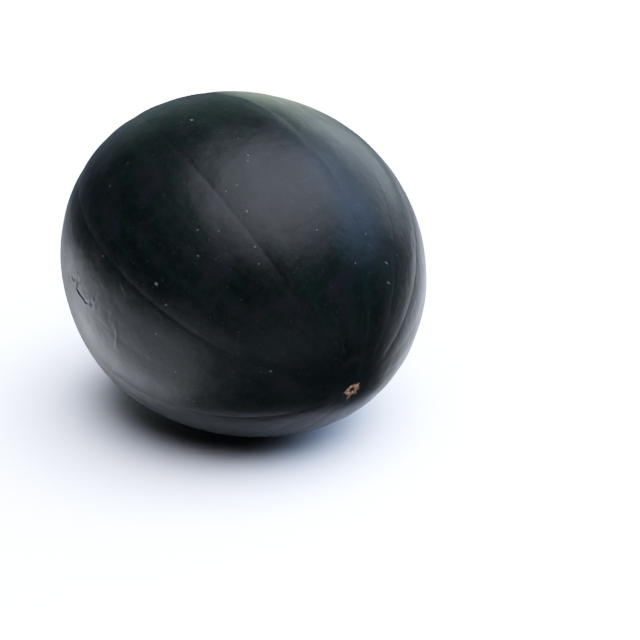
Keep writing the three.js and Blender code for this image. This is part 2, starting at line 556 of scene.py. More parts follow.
@dataclass(frozen=True)
class WaxyRind:
    """Watermelon rind: a living skin that grew smooth, under its own thin wax.

    The eye sees a green so deep that it is nearly black, a satin gloss that blurs what it mirrors, a
    grey bloom of wax in the light, and small pale pores and scuffs. Its wax scatters much of the light
    that bare rind would mirror, so the specular level is low, and a thin sheen gives the bloom.
    """

    darkest: str = "#020505"
    tones: tuple[Tone, ...] = (
        # Wide clouds of a lighter green
        Tone("#050b0a", 55 * MM, (0.35, 0.65), detail=3),
        # Faint streaks, drawn out along the furrows
        Tone("#06100d", 9 * MM, (0.48, 0.72), detail=4, lie=Lie.ALONG_FURROWS, strength=0.8, roughness=0.6),
        # Patches of thicker wax
        Tone("#0b1312", 3.5 * MM, (0.5, 0.75), detail=5, strength=0.7, roughness=0.65),
        # Blotches where the wax is rubbed
        Tone("#0b0c0f", 16 * MM, (0.5, 0.66), detail=4, strength=0.9, distortion=0.6),
    )
    ior: float = 1.45  # plant wax
    specular_level: float = 0.12
    roughness: tuple[float, float] = (0.28, 0.36)
    gloss_patch: float = 30 * MM
    gloss_limits: tuple[float, float] = (0.35, 0.65)
    bloom: float = 0.07
    bloom_roughness: float = 0.28
    bloom_tint: str = "#cfe0ee"

    # Pale breathing pores and flakes of scurf. Real ones are mostly under 0.3 mm wide, too fine to
    # show, so they are drawn 0.8 to 1.8 mm wide, and fewer.
    pore: str = "#4c534c"
    dots: tuple[Dots, ...] = (
        Dots(2.6 * MM, 0.5 * MM, share=0.45, strength=0.26),
        Dots(5.5 * MM, 0.42 * MM, share=0.42, strength=0.36),
        Dots(17 * MM, 0.9 * MM, share=0.3, strength=0.5),
    )
    mark_wobble: float = 1.2 * MM  # twice the most that the outlines of dots and marks stray
    wobble_size: float = 2.2 * MM
    mark_edge: tuple[float, float] = (1.15, 0.6)  # where its edge starts and ends, in halves of its size
    mark_depth: float = 4 * MM  # how far above or below its place a mark still colours the skin
    dot_middle: float = 0.4  # the share of a dot that is evenly pale

    # Dry cork, which the eye sees as matt and light brown with dark pores. Its real grain is under
    # 0.1 mm wide, so it is drawn about a millimetre wide, as coarse as it needs to be to show.
    cork: str = "#87694a"
    cork_dark: str = "#36200f"
    pit: str = "#241106"
    cork_roughness: float = 0.9
    cork_grain: float = 1.6 * MM
    cork_grain_limits: tuple[float, float] = (0.36, 0.6)
    cork_bump: Unevenness = Unevenness(0.7 * MM, 0.5 * MM, detail=3)

    # The side that lay on the ground: yellowish fibres along the furrows, about 1 mm wide on a real
    # fruit and a little wider here so that they show
    ground_fibre: float = 1.6 * MM
    fibre_limits: tuple[float, float] = (0.3, 0.7)
    fibre_shades: tuple[float, float] = (0.75, 1.2)
    ground_edge: float = 0.06  # the paleness from which the ground side's own tones cover the green
    ground_tones: tuple[tuple[float, str], ...] = (
        (0.0, "#050b0a"),
        (0.1, "#131817"),
        (0.2, "#222520"),
        (0.45, "#3f4335"),
        (0.62, "#565a4b"),
        (0.8, "#67654a"),
        (1.0, "#857b4c"),
    )

    # Soft swells, the skin's pebbling and fine streaks. The real pebbling is about a millimetre wide
    # and is drawn wider so that it breaks up the gloss as seen from a step away.
    unevenness: tuple[Unevenness, ...] = (
        Unevenness(14 * MM, 0.42 * MM, detail=2),
        Unevenness(5 * MM, 0.12 * MM, detail=4, roughness=0.6),
        Unevenness(2.5 * MM, 0.04 * MM, detail=3, lie=Lie.ALONG_FURROWS),
    )
    mark_height: float = 0.08 * MM

    def material(self, marks: tuple[SkinMark, ...], skin: "Rind") -> bpy.types.Material:
        """Builds the rind's material.

        Args:
            marks: the single marks on the skin.
            skin: the skin that they lie on.

        Returns:
            The material.
        """
        material, shader = new_material("waxy_rind")
        tree = material.node_tree
        values = {
            value: add_node(tree, "ShaderNodeAttribute", attribute_name=value.value).outputs
            for value in SkinValue
        }
        lies = {
            Lie.EVEN: add_node(tree, "ShaderNodeTexCoord").outputs["Object"],
            Lie.ALONG_FURROWS: values[SkinValue.FURROW_PLACE]["Vector"],
        }
        # Cork share, lowered along the star's fissures to paint shade there, so the dark skin colour shows
        # through
        cork = values[SkinValue.CORK]["Fac"]
        pale = self._pale_marks(tree, lies[Lie.EVEN], marks, skin)
        layers = [
            *self._skin_tones(tree, lies),
            self._ground_side(tree, lies, values[SkinValue.GROUND_SPOT]["Fac"]),
            (pale, linear(self.pore)),
            (cork, self._cork_colour(tree, lies)),
            (values[SkinValue.PIT]["Fac"], linear(self.pit)),
        ]
        colour = linear(self.darkest)
        for share, over in layers:
            inputs = {"Factor": share, "A": colour, "B": over}
            colour = add_node(tree, "ShaderNodeMix", inputs, data_type="RGBA").outputs["Result"]
        fill(
            tree,
            shader,
            {
                "Base Color": colour,
                "Roughness": self._roughness(tree, lies, cork),
                "Normal": self._surface(tree, lies, pale, cork),
                "IOR": self.ior,
                "Specular IOR Level": self.specular_level,
                "Sheen Weight": self.bloom,
                "Sheen Roughness": self.bloom_roughness,
                "Sheen Tint": linear(self.bloom_tint),
            },
        )
        return material

    def _skin_tones(self, tree: Tree, lies: dict[Lie, Socket]) -> list[Layer]:
        """Builds the skin's own greens.

        Args:
            tree: the material's nodes.
            lies: the point on the skin, for each way in which a pattern lies.

        Returns:
            A layer for each tone.
        """
        layers: list[Layer] = []
        for tone in self.tones:
            inputs = {
                "Vector": lies[tone.lie],
                "Scale": 1 / tone.size,
                "Detail": tone.detail,
                "Roughness": tone.roughness,
                "Distortion": tone.distortion,
            }
            noise = add_node(tree, "ShaderNodeTexNoise", inputs).outputs["Fac"]
            low, high = tone.limits
            inputs = {"Value": noise, "From Min": low, "From Max": high, "To Max": tone.strength}
            share = add_node(tree, "ShaderNodeMapRange", inputs)
            layers.append((share.outputs[0], linear(tone.colour)))
        return layers

    def _ground_side(self, tree: Tree, lies: dict[Lie, Socket], pale: Socket) -> Layer:
        """Builds the paler side on which the fruit lay, in fibres along the furrows.

        Args:
            tree: the material's nodes.
            lies: the point on the skin, for each way in which a pattern lies.
            pale: how pale the skin is there.

        Returns:
            The side's layer.
        """
        inputs = {
            "Vector": lies[Lie.ALONG_FURROWS],
            "Scale": 1 / self.ground_fibre,
            "Detail": 5,
            "Roughness": 0.6,
        }
        noise = add_node(tree, "ShaderNodeTexNoise", inputs).outputs["Fac"]
        inputs = {"Value": noise} | dict(zip(RANGE, self.fibre_limits + self.fibre_shades))
        fibre = add_node(tree, "ShaderNodeMapRange", inputs).outputs[0]
        tone = add_node(tree, "ShaderNodeMath", {0: pale, 1: fibre}, operation="MULTIPLY").outputs[0]
        ramp = add_node(tree, "ShaderNodeValToRGB", {"Fac": tone})
        stops = ramp.color_ramp.elements
        for at, colour in self.ground_tones[1:-1]:
            stops.new(at).color = linear(colour)
        stops[0].color = linear(self.ground_tones[0][1])
        stops[-1].color = linear(self.ground_tones[-1][1])
        on_it = add_node(tree, "ShaderNodeMapRange", {"Value": pale, "From Max": self.ground_edge})
        return on_it.outputs[0], ramp.outputs["Color"]

    def _cork_colour(self, tree: Tree, lies: dict[Lie, Socket]) -> Socket:
        """Builds the colour of the star and the collar.

        Args:
            tree: the material's nodes.
            lies: the point on the skin, for each way in which a pattern lies.

        Returns:
            The colour's socket.
        """
        inputs = {"Vector": lies[Lie.EVEN], "Scale": 1 / self.cork_grain, "Detail": 4}
        grain = add_node(tree, "ShaderNodeTexNoise", inputs).outputs["Fac"]
        low, high = self.cork_grain_limits
        light = add_node(tree, "ShaderNodeMapRange", {"Value": grain, "From Min": low, "From Max": high})
        inputs = {"Factor": light.outputs[0], "A": linear(self.cork_dark), "B": linear(self.cork)}
        return add_node(tree, "ShaderNodeMix", inputs, data_type="RGBA").outputs["Result"]

    def _roughness(self, tree: Tree, lies: dict[Lie, Socket], cork: Socket) -> Socket:
        """Builds the gloss: glossier and duller patches of wax, and matt cork.

        Args:
            tree: the material's nodes.
            lies: the point on the skin, for each way in which a pattern lies.
            cork: where the skin is cork.

        Returns:
            The roughness's socket.
        """
        inputs = {"Vector": lies[Lie.EVEN], "Scale": 1 / self.gloss_patch, "Detail": 5}
        noise = add_node(tree, "ShaderNodeTexNoise", inputs).outputs["Fac"]
        inputs = {"Value": noise} | dict(zip(RANGE, self.gloss_limits + self.roughness))
        wax = add_node(tree, "ShaderNodeMapRange", inputs).outputs[0]
        inputs = {"Factor": cork, "A": wax, "B": self.cork_roughness}
        return add_node(tree, "ShaderNodeMix", inputs).outputs["Result"]

    def _pale_marks(self, tree: Tree, place: Socket, marks: tuple[SkinMark, ...], skin: "Rind") -> Socket:
        """Builds the dots and the single marks, all with slightly uneven outlines.

        Args:
            tree: the material's nodes.
            place: the point on the skin.
            marks: the single marks.
            skin: the skin that they lie on.

        Returns:
            The socket of their strength, from 0 to 1.
        """
        inputs = {"Vector": place, "Scale": 1 / self.wobble_size, "Detail": 2}
        noise = add_node(tree, "ShaderNodeTexNoise", inputs).outputs["Color"]
        inputs = {0: noise, 1: (0.5, 0.5, 0.5)}
        wobble = add_node(tree, "ShaderNodeVectorMath", inputs, operation="SUBTRACT").outputs[0]
        inputs = {0: wobble, 1: (self.mark_wobble,) * 3, 2: place}
        uneven = add_node(tree, "ShaderNodeVectorMath", inputs, operation="MULTIPLY_ADD").outputs[0]
        strengths = [self._scattered(tree, uneven, dots) for dots in self.dots]
        strengths += [self._single_mark(tree, uneven, mark, skin) for mark in marks]
        total = strengths[0]
        for strength in strengths[1:]:
            total = add_node(tree, "ShaderNodeMath", {0: total, 1: strength}, operation="MAXIMUM").outputs[0]
        return total

    def _scattered(self, tree: Tree, place: Socket, dots: Dots) -> Socket:
        """Builds scattered dots.

        Args:
            tree: the material's nodes.
            place: the point on the skin.
            dots: the dots.

        Returns:
            The socket of their strength.
        """
        cells = add_node(tree, "ShaderNodeTexVoronoi", {"Vector": place, "Scale": 1 / dots.spacing})
        reach = dots.radius / dots.spacing
        inputs = {"Value": cells.outputs["Distance"], "From Min": reach, "From Max": self.dot_middle * reach}
        dot = add_node(tree, "ShaderNodeMapRange", inputs, interpolation_type="SMOOTHSTEP").outputs[0]
        pick = add_node(tree, "ShaderNodeSeparateColor", {"Color": cells.outputs["Color"]}).outputs[0]
        inputs = {"Value": pick, "From Min": dots.share, "From Max": 0, "To Max": dots.strength}
        strength = add_node(tree, "ShaderNodeMapRange", inputs).outputs[0]
        return add_node(tree, "ShaderNodeMath", {0: dot, 1: strength}, operation="MULTIPLY").outputs[0]

    def _single_mark(self, tree: Tree, place: Socket, mark: SkinMark, skin: "Rind") -> Socket:
        """Builds one mark as a soft-edged ellipse that lies on the skin.

        Args:
            tree: the material's nodes.
            place: the point on the skin.
            mark: the mark.
            skin: the skin that it lies on.

        Returns:
            The socket of its strength.
        """
        angles = (math.radians(angle) for angle in (mark.from_blossom, mark.turn, mark.heading))
        centre, along, aside, outward = skin.stand_on(*angles)
        inputs = {0: place, 1: tuple(centre)}
        offset = add_node(tree, "ShaderNodeVectorMath", inputs, operation="SUBTRACT").outputs[0]
        ways = ((along, mark.length / 2), (aside, mark.width / 2), (outward, self.mark_depth))
        scaled = []
        for way, size in ways:
            inputs = {0: offset, 1: tuple(way / size)}
            share = add_node(tree, "ShaderNodeVectorMath", inputs, operation="DOT_PRODUCT")
            scaled.append(share.outputs["Value"])
        inside = add_node(tree, "ShaderNodeCombineXYZ", dict(enumerate(scaled))).outputs[0]
        reach = add_node(tree, "ShaderNodeVectorMath", {0: inside}, operation="LENGTH").outputs["Value"]
        start, end = self.mark_edge
        inputs = {"Value": reach, "From Min": start, "From Max": end, "To Max": mark.strength}
        return add_node(tree, "ShaderNodeMapRange", inputs, interpolation_type="SMOOTHSTEP").outputs[0]

    def _surface(self, tree: Tree, lies: dict[Lie, Socket], pale: Socket, cork: Socket) -> Socket:
        """Builds the fine relief: soft waves, fine streaks, raised pores and the cork's grain.

        Args:
            tree: the material's nodes.
            lies: the point on the skin, for each way in which a pattern lies.
            pale: the strength of the pores and marks.
            cork: where the skin is cork.

        Returns:
            The socket of the surface's normal.
        """
        noises = []
        for layer in (*self.unevenness, self.cork_bump):
            inputs = {
                "Vector": lies[layer.lie],
                "Scale": 1 / layer.size,
                "Detail": layer.detail,
                "Roughness": layer.roughness,
            }
            noises.append(add_node(tree, "ShaderNodeTexNoise", inputs).outputs["Fac"])
        grain = add_node(tree, "ShaderNodeMath", {0: noises.pop(), 1: cork}, operation="MULTIPLY")
        heights = [(noise, layer.depth) for noise, layer in zip(noises, self.unevenness)]
        heights += [(pale, self.mark_height), (grain.outputs[0], self.cork_bump.depth)]
        under: dict[str | int, object] = {}
        for height, depth in heights:
            bump = add_node(tree, "ShaderNodeBump", {"Height": height, "Distance": depth} | under)
            under = {"Normal": bump.outputs["Normal"]}
        return bump.outputs["Normal"]


@dataclass(frozen=True)
class DriedStalk:
    """Vine stalk, cut and dried: corky and ridged, so the eye sees matt straw-brown fibres.

    Real fibres are about 0.2 mm wide and are drawn three times as wide so that they show.
    """

    fibre: str = "#8a7350"
    shade: str = "#4a3a26"
    roughness: float = 0.9
    fibre_width: float = 0.6 * MM
    fibre_depth: float = 0.3 * MM

    def material(self) -> bpy.types.Material:
        """Builds the stalk's material.

        Returns:
            The material.
        """
        material, shader = new_material("dried_stalk")
        tree = material.node_tree
        place = add_node(tree, "ShaderNodeTexCoord").outputs["Object"]
        inputs = {"Vector": place, "Scale": 1 / self.fibre_width, "Detail": 4}
        grain = add_node(tree, "ShaderNodeTexNoise", inputs).outputs["Fac"]
        inputs = {"Factor": grain, "A": linear(self.shade), "B": linear(self.fibre)}
        colour = add_node(tree, "ShaderNodeMix", inputs, data_type="RGBA").outputs["Result"]
        bump = add_node(tree, "ShaderNodeBump", {"Height": grain, "Distance": self.fibre_depth})
        normal = bump.outputs["Normal"]
        fill(tree, shader, {"Base Color": colour, "Normal": normal, "Roughness": self.roughness})
        return material


@dataclass(frozen=True)
class MattPaper:
    """White background paper, rolled out flat: an even, pale surface with no gloss."""

    colour: str = "#e6e6e9"
    roughness: float = 1.0
    specular_level: float = 0.0

    def material(self) -> bpy.types.Material:
        """Builds the paper's material.

        Returns:
            The material.
        """
        material, shader = new_material("matt_paper")
        constants = {
            "Base Color": linear(self.colour),
            "Roughness": self.roughness,
            "Specular IOR Level": self.specular_level,
        }
        fill(material.node_tree, shader, constants)
        return material


def ringed_faces(rings: int, segments: int) -> list[tuple[int, ...]]:
    """Lists the faces of a closed surface of rings whose first and last rings are single points.

    Args:
        rings: how many rings there are, both points included.
        segments: how many points each of the other rings has.

    Returns:
        The faces, as numbers of points that are counted ring by ring.
    """

    def point(ring: int, i: int) -> int:
        """Gives the number of a ring's point, counting round past the last one."""
        return 1 + (ring - 1) * segments + i % segments

    last = 1 + (rings - 2) * segments
    faces: list[tuple[int, ...]] = []
    for i in range(segments):
        faces.append((0, point(1, i), point(1, i + 1)))
        faces.extend(
            (point(ring, i), point(ring + 1, i), point(ring + 1, i + 1), point(ring, i + 1))
            for ring in range(1, rings - 2)
        )
        faces.append((last, point(rings - 2, i + 1), point(rings - 2, i)))
    return faces


def mesh_object(
    name: str, points: np.ndarray, faces: list[tuple[int, ...]], material: bpy.types.Material
) -> bpy.types.Object:
    """Makes a smooth-shaded mesh object and links it to the scene.

    Args:
        name: the object's name.
        points: its points, one per row.
        faces: its faces.
        material: its finish.

    Returns:
        The object.
    """
    mesh = bpy.data.meshes.new(name)
    mesh.from_pydata(points.tolist(), [], faces)
    mesh.polygons.foreach_set("use_smooth", [True] * len(mesh.polygons))
    mesh.materials.append(material)
    made = bpy.data.objects.new(name, mesh)
    bpy.context.scene.collection.objects.link(made)
    return made


@dataclass
class Rind:
    """The fruit's skin as one fine closed mesh, which stands for the CAD fruit."""

    form: FruitForm = field(default_factory=FruitForm)
    furrows: Furrows = field(default_factory=Furrows)
    star: BlossomStar = field(default_factory=BlossomStar)
    dimple: StemDimple = field(default_factory=StemDimple)
    ground_spot: GroundSpot = field(default_factory=GroundSpot)
    finish: WaxyRind = field(default_factory=WaxyRind)
    marks: tuple[SkinMark, ...] = ()
    cracks: tuple[HealedCrack, ...] = ()
    steps_per_furrow: int = 18
    furrow_crowding: float = 0.7  # 0 spaces a ring's points evenly, and 1 crowds them into the furrows
    finest_ring: float = 0.35 * MM  # the spacing of the rings at the ends
    widest_ring: float = 1.9 * MM
    ring_growth: float = 0.03  # how much wider the spacing is, as a share of the way from an end
    crack_band: tuple[float, float] = (math.radians(75), math.radians(107))
    crack_ring: float = 0.7 * MM  # the widest spacing of the rings there
    inset: float = 0.25 * MM  # keeps the waves inside the CAD fruit's box
    wave_depth: float = 0.25 * MM
    wave_counts: tuple[int, ...] = (5, 7, 9, 12, 15, 19)
    wave_seed: int = 7
    wave_fade: tuple[float, float] = (0.1, 0.4)  # sines of the angle from an end, as for the furrows
    furrow_stretch: float = 0.12  # draws the patterns that lie along the furrows out about eight times
    centre: np.ndarray = field(default_factory=lambda: np.zeros(3))

    def ring_angles(self) -> np.ndarray:
        """Divides the way between the ends, with steps closer together at both and by the cracks.

        Returns:
            The rings' angles from the blossom end.
        """
        girdle = self.form.girth / 2
        band = [angle * girdle for angle in self.crack_band]

        def step_at(distance: float) -> float:
            """Gives the step to the next ring.

            Args:
                distance: the distance from the blossom end.

            Returns:
                The step's size.
            """
            from_end = max(min(distance, math.pi * girdle - distance), 0)
            step = min(self.finest_ring + self.ring_growth * from_end, self.widest_ring)
            return min(step, self.crack_ring) if band[0] < distance < band[1] else step

        return graded(math.pi * girdle, step_at) / girdle

    def turns(self) -> np.ndarray:
        """Divides a ring, with steps closer together in the furrows than on the backs.

        Returns:
            The turns of the ring's points.
        """
        count = self.furrows.count * self.steps_per_furrow
        place = np.arange(count) / self.steps_per_furrow
        place = place - self.furrow_crowding * np.sin(2 * math.pi * place) / (2 * math.pi)
        return self.furrows.first + 2 * math.pi * place / self.furrows.count

    def waves(self, d: np.ndarray) -> np.ndarray:
        """Gives the slight unevenness of a grown skin, as a few crossing waves of seeded directions.

        Args:
            d: unit directions from the centre.

        Returns:
            Heights over the smooth body.
        """
        draw = np.random.default_rng(self.wave_seed)
        total = np.zeros(d.shape[:-1])
        for count in self.wave_counts:
            way = draw.normal(size=3)
            way /= np.linalg.norm(way)
            total += np.sin(count * (d @ way) * math.pi + draw.uniform(0, 2 * math.pi)) / count
        return self.wave_depth * total

    def points(self, from_blossom: np.ndarray, turn: np.ndarray) -> np.ndarray:
        """Gives points of the skin about the fruit's own centre.

        Args:
            from_blossom: angles from the blossom end.
            turn: turns round the axis.

        Returns:
            The points, in a last dimension of three.
        """
        d = self.form.direction(from_blossom, turn)
        smooth = self.form.radius(d)
        relief = (
            self.furrows.relief(from_blossom, turn)
            + self.star.relief(smooth * from_blossom, turn)
            + self.dimple.relief(smooth * (math.pi - from_blossom))
            + self.waves(d) * smoothstep(np.sin(from_blossom), *self.wave_fade)
        )
        for crack in self.cracks:
            relief = relief + crack.relief(from_blossom, turn, self.form.girth / 2)
        return d * (smooth + relief - self.inset)[..., None]

    def stand_on(
        self, from_blossom: float, turn: float, heading: float = 0.0
    ) -> tuple[np.ndarray, np.ndarray, np.ndarray, np.ndarray]:
        """Stands on the skin at a place.

        Args:
            from_blossom: the place's angle from the blossom end.
            turn: its turn round the axis.
            heading: the angle from the line to the blossom end.

        Returns:
            The point, and unit vectors along the heading, aside of it and outward.
        """
        step = 0.01  # radians
        here = self.points(np.array(from_blossom), np.array(turn))
        ahead = self.points(np.array(from_blossom - step), np.array(turn)) - here
        round_it = self.points(np.array(from_blossom), np.array(turn + step)) - here
        ahead /= np.linalg.norm(ahead)
        outward = np.cross(round_it, ahead)
        outward /= np.linalg.norm(outward)
        outward *= np.sign(outward @ here)
        side = np.cross(outward, ahead)
        along = math.cos(heading) * ahead + math.sin(heading) * side
        return here + self.centre, along, np.cross(outward, along), outward

    def build(self) -> bpy.types.Object:
        """Builds and dresses the skin.

        Returns:
            The skin's object, which rides on the fruit's body.
        """
        rings = self.ring_angles()
        turns = self.turns()
        inner, turn = np.meshgrid(rings[1:-1], turns, indexing="ij")
        from_blossom = np.concatenate([[0.0], inner.ravel(), [math.pi]])
        turn = np.concatenate([[0.0], turn.ravel(), [0.0]])
        points = self.points(from_blossom, turn)
        spot_height = points[:, 2].min() + self.form.flat_spot_depth
        points[:, 2] = np.maximum(points[:, 2], spot_height)
        low, high = (np.array(corner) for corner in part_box("watermelon"))
        middle = (low + high) / 2 - (points.min(0) + points.max(0)) / 2
        self.centre = np.array([middle[0], middle[1], low[2] - spot_height])
        points += self.centre

        faces = ringed_faces(len(rings), len(turns))
        skin = mesh_object("rind_skin", points, faces, self.finish.material(self.marks, self))
        self._store_values(skin, from_blossom, turn)
        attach(skin, "root")
        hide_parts("watermelon")
        return skin

    def _store_values(self, skin: bpy.types.Object, from_blossom: np.ndarray, turn: np.ndarray) -> None:
        """Stores in the mesh what the finish needs to know of each point.

        Args:
            skin: the skin's object.
            from_blossom: the points' angles from the blossom end.
            turn: their turns round the axis.
        """
        radius = self.form.radius(self.form.direction(from_blossom, turn))
        blossom_distance, stem_distance = radius * from_blossom, radius * (math.pi - from_blossom)
        girdle = self.form.girth / 2
        along = blossom_distance * self.furrow_stretch
        # The star's cork share is lowered along its fissures: painted shade
        star_cork_and_shade = self.star.cork(blossom_distance, turn)
        values = {
            SkinValue.FURROW_PLACE: np.stack([girdle * np.cos(turn), girdle * np.sin(turn), along], axis=-1),
            SkinValue.CORK: np.maximum(star_cork_and_shade, self.dimple.cork(stem_distance)),
            SkinValue.PIT: self.star.pit(blossom_distance),
            SkinValue.GROUND_SPOT: self.ground_spot.paleness(from_blossom, turn),
        }
        for value, numbers in values.items():
            kind, part = ("FLOAT", "value") if numbers.ndim == 1 else ("FLOAT_VECTOR", "vector")
            attribute = skin.data.attributes.new(value.value, kind, "POINT")
            attribute.data.foreach_set(part, numbers.astype(np.float32).ravel())


@dataclass
class StalkStub:
    """The short stub of the stalk in the dimple, ridged and cut across."""

    skin: Rind
    length: float = 8 * MM
    foot_radius: float = 7 * MM
    radius: float = 4.1 * MM
    flare: float = 1.7 * MM  # the height over which most of the foot's extra width goes
    ridges: int = 5
    ridge_depth: float = 0.07  # as a share of the radius
    bevel: float = 0.5 * MM
    hollow: float = 0.7 * MM  # how far the middle of the cut end has dried in
    lean: float = 0.8 * MM  # how far the cut end leans towards the fruit's top
    gap: float = 0.3 * MM
    fibre_height: float = 0.12 * MM
    fibre_count: int = 23
    fibre_wander: float = 2.0
    wander_count: int = 3
    fibre_fade: float = 1 * MM  # the height over the skin at which the fibres stand out fully
    segments: int = 160
    foot_rings: int = 6
    side_rings: int = 40
    side_crowding: float = 1.5  # crowds the side's rings towards the foot, where it curves most
    cut_rings: int = 14
    finish: DriedStalk = field(default_factory=DriedStalk)

    def profile(self) -> tuple[np.ndarray, np.ndarray]:
        """Gives the outline from the foot's middle to the cut end's middle.

        Returns:
            Radii, and heights over the skin.
        """
        foot = np.linspace(0, self.foot_radius, self.foot_rings + 1)
        steps = np.linspace(0, 1, self.side_rings + 1)[1:] ** self.side_crowding
        height = (self.length - self.bevel) * steps
        side = self.radius + (self.foot_radius - self.radius) * np.exp(-height / self.flare)
        inward = np.linspace(1, 0, self.cut_rings + 1)
        cut = (self.radius - self.bevel) * inward
        cut_height = self.length - self.hollow * (1 - inward**2)
        return np.concatenate([foot, side, cut]), np.concatenate([0 * foot, height, cut_height])

    def build(self) -> bpy.types.Object:
        """Builds and dresses the stub.

        Returns:
            The stub's object, which rides on the fruit's body.
        """
        radius, height = self.profile()
        rings = len(radius)
        ring = np.repeat(np.arange(1, rings - 1), self.segments)
        ring = np.concatenate([[0], ring, [rings - 1]])
        turn = np.tile(2 * math.pi * np.arange(self.segments) / self.segments, rings - 2)
        turn = np.concatenate([[0.0], turn, [0.0]])
        radius, height = radius[ring], height[ring]
        wander = self.fibre_wander * np.sin(self.wander_count * turn)
        fibres = self.fibre_height * np.sin(self.fibre_count * turn + wander)
        fibres = fibres * smoothstep(height, 0, self.fibre_fade) * (radius > self.radius / 2)
        ridged = radius * (1 + self.ridge_depth * np.cos(self.ridges * turn)) + fibres

        axis, _, over = self.skin.form.axes()
        reach = np.linalg.norm(self.skin.points(np.array(math.pi), np.array(0.0)))
        foot = self.skin.points(math.pi - np.arcsin(ridged / reach), turn)
        rise = height[:, None]
        points = foot - axis * (self.gap + rise) + over * self.lean * (rise / self.length) ** 2
        points += self.skin.centre
        stub = mesh_object("stalk_stub", points, ringed_faces(rings, self.segments), self.finish.material())
        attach(stub, "root")
        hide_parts("stem_stub")
        return stub


@dataclass(frozen=True)
class SoftLight:
    """A large soft light far off, which the fruit mirrors. All its angles are in degrees.

    It stands at a bearing from the viewer's side towards the right and at a height over the horizon.
    The spreads are half its width and half its height, and softness is how much of them its edge takes.
    """

    bearing: float
    height: float
    side_spread: float
    rise_spread: float
    softness: float
    colour: tuple[float, float, float]
    strength: float


